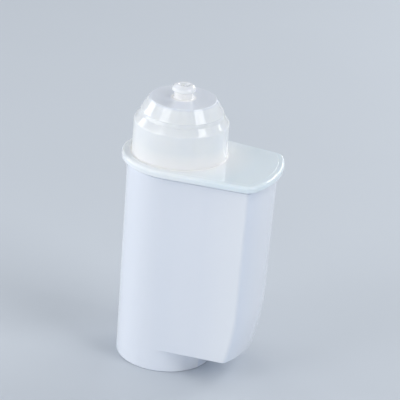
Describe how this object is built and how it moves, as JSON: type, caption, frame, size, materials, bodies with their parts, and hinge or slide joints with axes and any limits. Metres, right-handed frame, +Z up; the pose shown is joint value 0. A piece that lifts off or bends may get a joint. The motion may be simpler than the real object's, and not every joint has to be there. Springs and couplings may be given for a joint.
{
  "type": "coffee machine water filter",
  "caption": "Upright water filter cartridge with a finned round housing, a flat rim plate, a stepped dome and a small knob; it stands on its round base.",
  "frame": {"origin": "on the floor, under the middle of the outline's box; the round cylinder's axis is 9.85 mm from it towards -X", "axes": "+Z up along the cylinder's axis, from the base to the knob; +X towards the fin's end wall; the part is symmetric across the XZ plane"},
  "size_m": [0.066, 0.0462, 0.1198],
  "materials": {
    "housing_plastic": "white opaque, satin",
    "cover_plastic": "natural white, slightly see-through, glossy",
    "inner_plastic": "natural white, plain moulded",
    "fleece": "needled white fibre",
    "granulate": "packed small beads and grains",
    "seal_rubber": "soft grey, matt"
  },
  "bodies": {
    "root": {"housing": "housing_plastic", "cover": "cover_plastic", "inlet_sieve": "inner_plastic", "lower_fleece": "fleece", "granulate_bed": "granulate", "upper_fleece": "fleece", "upper_sieve": "inner_plastic", "riser_tube": "inner_plastic", "outlet_seal": "seal_rubber"}
  },
  "joints": []
}
